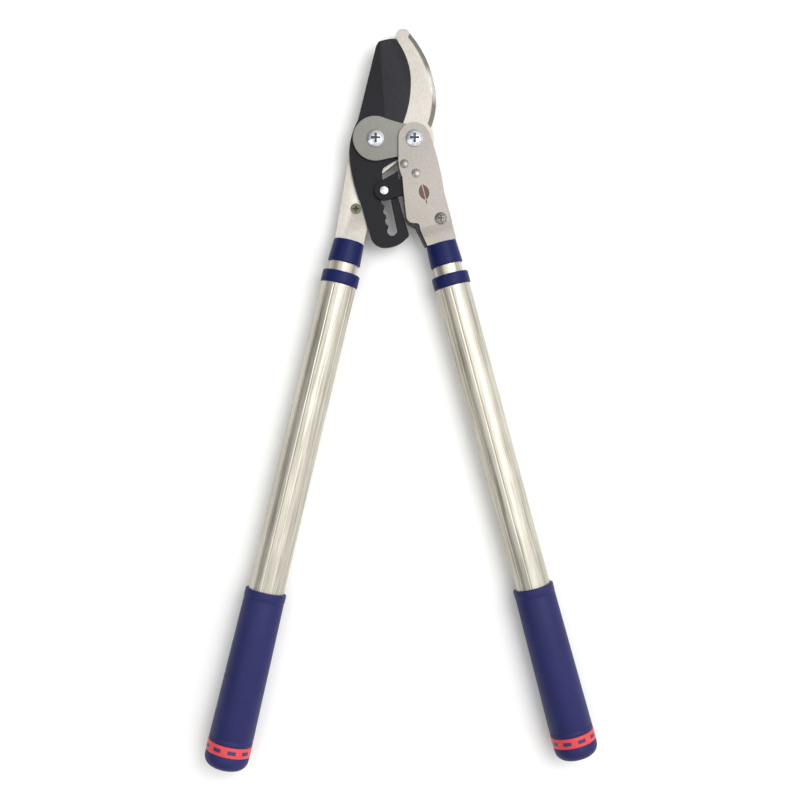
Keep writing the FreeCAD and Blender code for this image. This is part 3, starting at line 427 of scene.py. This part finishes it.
def place(mesh: bmesh.types.BMesh, name: str, body: str, material: bpy.types.Material,
          smooth_deg: float = 35.0) -> bpy.types.Object:
    """Turn a bmesh into a finished piece that rides on a body.

    Args:
        mesh: Finished shape, in the tool's frame.
        name: Name of the piece.
        body: Body that carries it.
        material: Its material.
        smooth_deg: Edges that turn more than this stay sharp.

    Returns:
        The new object.
    """
    data = bpy.data.meshes.new(name)
    mesh.to_mesh(data)
    mesh.free()
    data.materials.append(material)
    data.shade_smooth()
    data.set_sharp_from_angle(angle=math.radians(smooth_deg))
    piece = bpy.data.objects.new(name, data)
    bpy.context.scene.collection.objects.link(piece)
    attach(piece, body)
    log.info("%s rides on %s: %d faces", name, body, len(data.polygons))
    return piece


def spun(profile: list[tuple[float, float]], segments: int,
         frame_matrix: Matrix) -> bmesh.types.BMesh:
    """Spin a closed profile about its own axis and put the result on a handle.

    Args:
        profile: Corners as (radius, distance along the axis), in metres.
        segments: Faces round the axis.
        frame_matrix: Handle's frame: its Z runs down the handle.

    Returns:
        The spun shape with outward normals.
    """
    mesh = bmesh.new()
    ring = [mesh.verts.new((radius, 0.0, along)) for radius, along in profile]
    edges = [mesh.edges.new((ring[i], ring[(i + 1) % len(ring)])) for i in range(len(ring))]
    bmesh.ops.spin(mesh, geom=ring + edges, cent=(0, 0, 0), axis=(0, 0, 1), angle=math.tau,
                   steps=segments, use_merge=True)
    bmesh.ops.remove_doubles(mesh, verts=mesh.verts, dist=SAME_PLACE)
    bmesh.ops.recalc_face_normals(mesh, faces=mesh.faces)
    bmesh.ops.transform(mesh, matrix=frame_matrix, verts=mesh.verts)
    return mesh


# --- Head: blade, hook, plates and hardware --------------------------------------------------
class Edge(Enum):
    """How much the edges of a hard piece were rounded in making it, in millimetres."""

    PRESSED = 0.35
    GROUND = 0.22
    TURNED = 0.15
    MOULDED = 0.5


class Accent(Enum):
    """Which faces of a hard piece take its second finish."""

    NONE = "none"
    BEVEL = "bevel"
    RECESS_SHADE = "recess"


# How far below its drop a driver recess may still reach.
RECESS_DEEPEST = 2.5 * MM
# Packed corners closer than this are one corner.
PACKED_SAME_PLACE = 2e-6


@dataclass
class RefinedPiece:
    """One hard piece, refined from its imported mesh.

    The copy has its triangles joined into flat faces and its sharp edges rounded, so that
    each edge catches the light as a tumbled or ground part does.  The faces of a front bevel
    are known by how far forward their normals lean, within the two limits of lean.  Those of
    a driver recess lie within a reach of the axis and a drop below the top: recess_mm.
    """

    node: str
    body: str
    slot: str
    finish: Finish
    edge: Edge
    segments: int = 2
    accent: Accent = Accent.NONE
    accent_finish: Finish | None = None
    recess_mm: tuple[float, float] = (0.0, 0.0)
    lean: tuple[float, float] = (0.35, 0.985)
    flat_deg: float = 0.6
    sharp_deg: float = 32.0

    def is_accent(self, face: bpy.types.MeshPolygon, low: Vector, high: Vector) -> bool:
        """Whether a face takes the accent finish.

        Args:
            face: Face of the refined copy.
            low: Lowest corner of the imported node.
            high: Its highest corner.

        Returns:
            True on a front bevel, or inside a driver recess, whichever the piece has.
        """
        if self.accent is Accent.BEVEL:
            return self.lean[0] < face.normal.z < self.lean[1]
        reach, drop = self.recess_mm
        middle = (low + high) / 2
        out = math.hypot(face.center.x - middle.x, face.center.y - middle.y)
        return out < reach * MM and 0 < high.z - drop * MM - face.center.z < RECESS_DEEPEST

    def build(self) -> bpy.types.Object:
        """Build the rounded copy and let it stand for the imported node."""
        mesh = bmesh.new()
        mesh.from_mesh(frame["nodes"][self.node].data)
        bmesh.ops.remove_doubles(mesh, verts=mesh.verts, dist=PACKED_SAME_PLACE)
        bmesh.ops.dissolve_limit(mesh, angle_limit=math.radians(self.flat_deg), verts=mesh.verts,
                                 edges=mesh.edges, use_dissolve_boundaries=False)
        piece = place(mesh, self.node + "_refined", self.body, self.finish.build())
        if self.accent is not Accent.NONE:
            piece.data.materials.append(self.accent_finish.build())
            low, high = (Vector(corner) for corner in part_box(self.node))
            for face in piece.data.polygons:
                face.material_index = int(self.is_accent(face, low, high))
        rounding = piece.modifiers.new("rounded_edges", "BEVEL")
        rounding.width = self.edge.value * MM
        rounding.segments = self.segments
        rounding.limit_method = "ANGLE"
        rounding.angle_limit = math.radians(self.sharp_deg)
        rounding.harden_normals = True
        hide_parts(self.node)
        return piece


@dataclass
class EtchedLeaf:
    """Small plain leaf etched on the front plate: two halves either side of a midrib, and a stem.

    Each is a thin skin, proud of the plate by less than the eye can see.  The centre is given
    from the blade pivot, the stem as its width and length.
    """

    centre_mm: tuple[float, float] = (45.0, -50.2)
    half_width_mm: float = 4.4
    half_length_mm: float = 7.4
    midrib_mm: float = 0.8
    skin_mm: float = 0.04
    stem_mm: tuple[float, float] = (1.0, 3.2)
    tilt_deg: float = 14.0
    segments: int = 96

    def half(self, side: int) -> bmesh.types.BMesh:
        """Shape one half: the part of a disc beyond a chord, which becomes the midrib's side.

        Args:
            side: 1 for the right half, -1 for the left.

        Returns:
            The half, centred on the leaf, lying at z = 0.
        """
        width, length = self.half_width_mm * MM, self.half_length_mm * MM
        radius = (length ** 2 + width ** 2) / (2 * width)
        mesh = bmesh.new()
        bmesh.ops.create_circle(mesh, cap_ends=True, radius=radius, segments=self.segments)
        geometry = mesh.verts[:] + mesh.edges[:] + mesh.faces[:]
        bmesh.ops.bisect_plane(mesh, geom=geometry, plane_co=(side * (radius - width), 0, 0),
                               plane_no=(-side, 0, 0), clear_outer=True)
        shift = self.midrib_mm * MM / 2 - (radius - width)
        bmesh.ops.translate(mesh, vec=(side * shift, 0, 0), verts=mesh.verts)
        self.thicken(mesh)
        return mesh

    def stem(self) -> bmesh.types.BMesh:
        """Shape the short stem below the leaf's lower point."""
        mesh = bmesh.new()
        bmesh.ops.create_grid(mesh, x_segments=1, y_segments=1, size=UNIT_SQUARE)
        width, length = (side * MM for side in self.stem_mm)
        bmesh.ops.scale(mesh, vec=(width, length, 1.0), verts=mesh.verts)
        down = -(self.half_length_mm * MM + length / 2)
        bmesh.ops.translate(mesh, vec=(0, down, 0), verts=mesh.verts)
        self.thicken(mesh)
        return mesh

    def thicken(self, mesh: bmesh.types.BMesh) -> None:
        """Give a flat shape the skin's thickness, upwards."""
        skin = bmesh.ops.extrude_face_region(mesh, geom=mesh.faces[:])
        raised = [v for v in skin["geom"] if isinstance(v, bmesh.types.BMVert)]
        bmesh.ops.translate(mesh, vec=(0, 0, self.skin_mm * MM), verts=raised)
        bmesh.ops.recalc_face_normals(mesh, faces=mesh.faces)

    def build(self, pivot: Vector) -> None:
        """Build both halves and the stem on the front plate.

        Args:
            pivot: Blade pivot in the tool's frame.
        """
        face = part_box("right_plate_front")[1][2]
        centre = Vector((pivot.x + self.centre_mm[0] * MM, pivot.y + self.centre_mm[1] * MM, face))
        turn = Matrix.Translation(centre) @ Matrix.Rotation(math.radians(self.tilt_deg), 4, "Z")
        for name, mesh in (("etched_leaf_right", self.half(1)), ("etched_leaf_left", self.half(-1)),
                           ("etched_leaf_stem", self.stem())):
            bmesh.ops.transform(mesh, matrix=turn, verts=mesh.verts)
            place(mesh, name, "right_handle", ETCHING.build())


@dataclass
class CuttingHead:
    """Blade, hook, tie plate, link, right plates and all their bolts, rivets and nuts."""

    leaf: EtchedLeaf
    refined: tuple[RefinedPiece, ...] = (
        RefinedPiece("cutting_blade", "blade", "blade_coating", BLADE_COATING, Edge.GROUND,
                     accent=Accent.BEVEL, accent_finish=BLADE_GRIND_SHEEN, lean=(0.9, 0.9955)),
        RefinedPiece("hook_blade", "root", "hook_steel", HOOK_STEEL, Edge.PRESSED,
                     accent=Accent.BEVEL, accent_finish=BEVEL_STEEL_PAINTED_LIGHT),
        RefinedPiece("front_tie_plate", "root", "tie_plate_steel", TIE_STEEL, Edge.PRESSED),
        RefinedPiece("left_backing_plate", "root", "plate_steel", PLATE_STEEL, Edge.PRESSED),
        RefinedPiece("right_plate_front", "right_handle", "plate_steel", PLATE_STEEL, Edge.PRESSED),
        RefinedPiece("right_plate_rear", "right_handle", "plate_steel", PLATE_STEEL, Edge.PRESSED),
        RefinedPiece("ratchet_link", "link", "link_steel", LINK_STEEL, Edge.PRESSED),
        RefinedPiece("ratchet_pin", "link", "zinc_hardware", ZINC, Edge.TURNED),
        # The driver recesses of the bolts and screws below take painted shade.
        RefinedPiece("blade_pivot_bolt", "root", "zinc_hardware", ZINC, Edge.TURNED,
                     accent=Accent.RECESS_SHADE, accent_finish=RECESS_SHADE, recess_mm=(4.7, 0.72)),
        RefinedPiece("handle_pivot_bolt", "root", "zinc_hardware", ZINC, Edge.TURNED,
                     accent=Accent.RECESS_SHADE, accent_finish=RECESS_SHADE, recess_mm=(4.7, 0.72)),
        RefinedPiece("right_bracket_screw", "right_handle", "zinc_hardware", DULL_ZINC, Edge.TURNED,
                     accent=Accent.RECESS_SHADE, accent_finish=RECESS_SHADE, recess_mm=(2.95, 0.45)),
        # The screw under the blade's tail takes painted shade.
        RefinedPiece("left_bracket_screw", "root", "zinc_hardware", SHADED_SCREW_ZINC, Edge.TURNED,
                     accent=Accent.RECESS_SHADE, accent_finish=RECESS_SHADE, recess_mm=(2.85, 0.1)),
        RefinedPiece("blade_pivot_nut", "root", "zinc_hardware", ZINC, Edge.PRESSED),
        RefinedPiece("handle_pivot_nut", "root", "zinc_hardware", ZINC, Edge.PRESSED),
    )
    dressed: tuple[tuple[str, Finish], ...] = (
        ("blade_pivot_washer", DULL_ZINC), ("blade_pivot_bush", BRONZE),
        ("handle_pivot_spacer", BRONZE),
        # The right tang's core is dressed black as painted shade, where its edge shows in the gap
        # between the right plates.
        ("right_tang_core", BLACK_NYLON_AND_SHADE), ("left_tang_core", BLACK_NYLON_AND_SHADE),
        ("right_screw_nut", ZINC), ("left_screw_nut", ZINC),
        ("link_pivot_rivet", DULL_ZINC), ("spring_post_rivet", DULL_ZINC),
        ("link_spacer", DULL_ZINC),
        ("ratchet_spring", SPRING_WIRE),
    )

    def build(self) -> None:
        """Refine the large metal pieces, dress the small ones and add the etched leaf."""
        for piece in self.refined:
            piece.build()
        for node, finish in self.dressed:
            dress(node, finish)
        low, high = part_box("blade_pivot_bolt")
        self.leaf.build((Vector(low) + Vector(high)) / 2)


def dress(node: str, finish: Finish) -> None:
    """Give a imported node, which keeps its own shape, a finish.

    Args:
        node: Name of the node.
        finish: Its finish.
    """
    data = frame["nodes"][node].data
    data.materials.clear()
    data.materials.append(finish.build())
    log.info("%s keeps its shape in %s", node, finish.name)


# --- Handles: collars, tubes, grips and bands --------------------------------------------------
# Edges of the soft pieces that turn more than this stay sharp.
GRIP_SMOOTH_DEG = 50.0


class Side(Enum):
    """The two handles, by the side of the tool that they lie on."""

    LEFT = "left"
    RIGHT = "right"


def bend(centre: tuple[float, float], radius: float, start_deg: float, end_deg: float,
         steps: int) -> list[tuple[float, float]]:
    """Points of an arc in a turned profile, from its start to its end.

    Args:
        centre: Centre as (radius, distance along), in millimetres.
        radius: Radius of the arc in millimetres.
        start_deg: First angle, from straight outwards towards the end of the handle.
        end_deg: Last angle.
        steps: Number of points.

    Returns:
        The points, in millimetres.
    """
    step_deg = (end_deg - start_deg) / (steps - 1)
    turns = [math.radians(start_deg + step_deg * i) for i in range(steps)]
    return [(centre[0] + radius * math.cos(t), centre[1] + radius * math.sin(t)) for t in turns]


@dataclass
class Handle:
    """One telescopic handle.  Distances are along its axis from the top of its upper collar.

    The grip's outline starts at the rim round its top, falls to the neck, widens evenly down
    to a fine line and the band, and ends in a rounded corner and a shallow domed cap.  Points
    below the rim are given as (radius past the neck's, distance below the rim).  Points of
    the band's edge are given as (inset from its outer radius, distance from its side).
    """

    side: Side
    root_body: str
    tube: Finish
    turn_deg: float
    twist_point_mm: float = 36.0
    grip_start_mm: float = 330.8
    grip_length_mm: float = 165.6
    bore_mm: float = 16.27
    bore_end_mm: float = 478.8
    rim_radius_mm: float = 19.0
    rim_length_mm: float = 7.6
    rim_round_mm: float = 1.0
    rim_round_from_deg: float = -60.0
    rim_round_points: int = 4
    below_rim_mm: tuple[tuple[float, float], ...] = (
        (0.2, 0.35), (0.0, 0.5), (0.02, 1.4), (0.15, 1.8),
    )
    neck_radius_mm: float = 18.55
    end_radius_mm: float = 20.2
    corner_mm: float = 10.0
    corner_turn_deg: float = 70.0
    corner_points: int = 12
    cap_first_deg: float = 72.5
    cap_points: int = 8
    band_start_mm: float = 140.2
    band_width_mm: float = 9.5
    band_depth_mm: float = 1.0
    band_proud_mm: float = 0.15
    band_gap_mm: float = 0.05
    band_edge_mm: tuple[tuple[float, float], ...] = ((0.3, 0.0), (0.08, 0.1), (0.0, 0.35))
    groove_edge_mm: float = 0.3
    line_above_band_mm: float = 4.6
    line_depth_mm: float = 0.35
    line_half_width_mm: float = 0.35
    line_half_reach_mm: float = 0.9
    taper_left_mm: float = 0.04
    segments: int = 96
    kept: tuple[tuple[str, Finish], ...] = (
        ("core_pin", DULL_ZINC), ("guide_bush", BLACK_NYLON_AND_SHADE), ("lock_collet", BLACK_NYLON_AND_SHADE),
        ("tube_end_plug", BLACK_NYLON_AND_SHADE),
    )

    def matrix(self) -> Matrix:
        """Frame of the handle: origin at the top of its collar, Z down the handle, Y forward."""
        name = self.side.value + "_lock_twist"
        joint = next(j for j in frame["record"]["behaviour"]["joints"] if j["name"] == name)
        down = Vector(joint["axis"]).normalized()
        top = Vector(joint["pos_m"]) - down * self.twist_point_mm * MM
        across = UP.cross(down)
        turn = Matrix((across, UP, down)).transposed().to_4x4()
        return Matrix.Translation(top) @ turn

    def grip_profile(self) -> list[tuple[float, float]]:
        """Closed outline of the grip: rim, tapered body, fine line, band groove and domed end."""
        start, outer = self.grip_start_mm, self.end_radius_mm
        end = start + self.grip_length_mm
        rim_end = start + self.rim_length_mm
        rim_middle = self.rim_radius_mm - self.rim_round_mm
        band = start + self.band_start_mm
        band_end = band + self.band_width_mm
        groove = outer - self.band_depth_mm
        line = band - self.line_above_band_mm
        line_radius = outer - self.line_depth_mm
        corner_turn = math.radians(self.corner_turn_deg)
        corner_middle = outer - self.corner_mm
        cap_turn = math.radians(90) - corner_turn
        cap_radius = (corner_middle + self.corner_mm * math.cos(corner_turn)) / math.sin(cap_turn)
        cap_height = cap_radius * (1 - math.cos(cap_turn))
        corner_at = end - cap_height - self.corner_mm * math.sin(corner_turn)
        return [
            (self.bore_mm, start),
            (rim_middle, start),
            *bend((rim_middle, start + self.rim_round_mm), self.rim_round_mm,
                  self.rim_round_from_deg, 0, self.rim_round_points),
            (self.rim_radius_mm, rim_end),
            *[(self.neck_radius_mm + past, rim_end + below) for past, below in self.below_rim_mm],
            (outer - self.taper_left_mm, line - self.line_half_reach_mm),
            (line_radius, line - self.line_half_width_mm),
            (line_radius, line + self.line_half_width_mm),
            (outer, line + self.line_half_reach_mm),
            (outer, band - self.groove_edge_mm),
            (outer - self.groove_edge_mm, band),
            (groove, band),
            (groove, band_end),
            (outer - self.groove_edge_mm, band_end),
            (outer, band_end + self.groove_edge_mm),
            *bend((corner_middle, corner_at), self.corner_mm, 0, self.corner_turn_deg,
                  self.corner_points),
            *bend((0.0, end - cap_radius), cap_radius, self.cap_first_deg, 90, self.cap_points),
            (0.0, self.bore_end_mm),
            (self.bore_mm, self.bore_end_mm),
        ]

    def band_profile(self) -> list[tuple[float, float]]:
        """Closed outline of the band, its outer edges slightly rounded."""
        inner = self.end_radius_mm - self.band_depth_mm
        outer = self.end_radius_mm + self.band_proud_mm
        low = self.grip_start_mm + self.band_start_mm + self.band_gap_mm
        high = self.grip_start_mm + self.band_start_mm + self.band_width_mm - self.band_gap_mm
        return [
            (inner, low),
            *[(outer - inset, low + along) for inset, along in self.band_edge_mm],
            *[(outer - inset, high - along) for inset, along in reversed(self.band_edge_mm)],
            (inner, high),
        ]

    def build(self) -> None:
        """Spin the grip and its band, refine the collars and dress the rest of the handle."""
        side = self.side.value
        placing = self.matrix()
        sleeve = side + "_sleeve"
        for name, profile, slot, finish in (
            ("grip", self.grip_profile(), "grip_rubber", NAVY_RUBBER),
            ("grip_band", self.band_profile(), "band_plastic", self.band_finish(placing)),
        ):
            metres = [(radius * MM, along * MM) for radius, along in profile]
            piece = place(spun(metres, self.segments, placing), f"{side}_{name}_moulded", sleeve,
                          finish.build(), smooth_deg=GRIP_SMOOTH_DEG)
            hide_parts(f"{side}_{name}")
        for node, body in (("upper_collar", self.root_body), ("lock_collar", side + "_lock")):
            RefinedPiece(f"{side}_{node}", body, "collar_plastic", NAVY_ABS, Edge.MOULDED,
                         segments=3).build()
        for node, finish in self.kept:
            dress(f"{side}_{node}", finish)
        for node in ("inner_tube", "outer_tube"):
            dress(f"{side}_{node}", self.tube)

    def band_finish(self, placing: Matrix) -> DashedFinish:
        """Printed band finish, centred on this handle's band."""
        middle = self.grip_start_mm + self.band_start_mm + self.band_width_mm / 2
        centre = placing @ Vector((0.0, 0.0, middle * MM))
        return replace(BAND_RED, name=f"{BAND_RED.name}_{self.side.value}", turn_deg=self.turn_deg,
                       centre=tuple(centre))


# --- Studio ------------------------------------------------------------------------------------
@dataclass
class Lamp:
    """A square soft light aimed at the tool: its place and side in metres, its power in watts."""

    name: str
    place_at: tuple[float, float, float]
    power: float
    size: float = 1.0

    def build(self) -> None:
        """Add the light to the scene."""
        data = bpy.data.lights.new(self.name, "AREA")
        data.size = self.size
        data.energy = self.power
        lamp = bpy.data.objects.new(self.name, data)
        lamp.location = self.place_at
        lamp.rotation_euler = (-Vector(self.place_at)).to_track_quat("-Z", "Y").to_euler()
        bpy.context.scene.collection.objects.link(lamp)


@dataclass
class Studio:
    """Pale floor, white tent, soft lights and the camera.

    The tent's stops are how far a direction points the bright way, and its colour there.
    """

    eye_mm: tuple[float, float, float] = (-77.39, -31.54, 1047.0)
    yaw_deg: float = 4.15
    pitch_deg: float = -1.45
    lens_mm: float = 49.9
    sensor_mm: float = 36.0
    floor_size: float = 12.0
    floor_values: tuple[tuple[str, float], ...] = (("Roughness", 0.95), ("Specular IOR Level", 0.1))
    world_strength: float = 1.16
    bright_way: tuple[float, float, float] = (0.42, 0.05, 0.9)
    tent: tuple[tuple[float, str], ...] = ((0.0, "#5f5f5d"), (0.42, "#b4b4b2"), (0.74, "#ffffff"))
    lamps: tuple[Lamp, ...] = (Lamp("key", (0.6, 0.4, 1.6), 12.0),
                               Lamp("fill", (-0.9, -0.3, 1.4), 3.0))

    def floor(self) -> None:
        """Large pale matt floor under the tool."""
        mesh = bmesh.new()
        bmesh.ops.create_grid(mesh, x_segments=2, y_segments=2, size=self.floor_size / 2)
        data = bpy.data.meshes.new("floor")
        mesh.to_mesh(data)
        mesh.free()
        material = bpy.data.materials.new("matt_white_paper")
        material.use_nodes = True
        shader = material.node_tree.nodes["Principled BSDF"]
        shader.inputs["Base Color"].default_value = linear("#fbfbfa")
        for name, value in self.floor_values:
            shader.inputs[name].default_value = value
        data.materials.append(material)
        sheet = bpy.data.objects.new("floor", data)
        bpy.context.scene.collection.objects.link(sheet)

    def world(self) -> None:
        """White tent: brightest overhead to the right, greyer to the left and near the horizon."""
        world = bpy.data.worlds.new("studio")
        world.use_nodes = True
        tree = world.node_tree
        look = add_node(tree, "TexCoord").outputs["Generated"]
        toward = add_node(tree, "VectorMath", {"operation": "DOT_PRODUCT"},
                          {1: self.bright_way}, {0: look})
        tent = ramp(tree, toward.outputs["Value"], [(at, linear(grey)) for at, grey in self.tent])
        background = tree.nodes["Background"]
        tree.links.new(tent, background.inputs["Color"])
        background.inputs["Strength"].default_value = self.world_strength
        bpy.context.scene.world = world

    def camera(self) -> None:
        """Camera above the tool, near the middle of its length."""
        data = bpy.data.cameras.new("camera")
        data.lens = self.lens_mm
        data.sensor_width = self.sensor_mm
        pitch = Matrix.Rotation(math.radians(self.pitch_deg), 3, "X")
        turn = pitch @ Matrix.Rotation(math.radians(self.yaw_deg), 3, "Y")
        eye = bpy.data.objects.new("camera", data)
        eye.matrix_world = Matrix.Translation(Vector(self.eye_mm) * MM) @ turn.transposed().to_4x4()
        bpy.context.scene.collection.objects.link(eye)
        bpy.context.scene.camera = eye

    def build(self) -> None:
        """Set the stage, the lights and the camera."""
        self.floor()
        self.world()
        for lamp in self.lamps:
            lamp.build()
        self.camera()
        # Colours show as they are given.
        bpy.context.scene.view_settings.view_transform = "Standard"


def main() -> None:
    """Build the head, both handles and the studio."""
    logging.basicConfig(level=logging.INFO, format="%(name)s: %(message)s")
    CuttingHead(EtchedLeaf()).build()
    Handle(Side.LEFT, "root", TUBE_LEFT, LEFT_TURN).build()
    Handle(Side.RIGHT, "right_handle", TUBE_RIGHT, RIGHT_TURN).build()
    Studio().build()


if __name__ == "__main__":
    main()
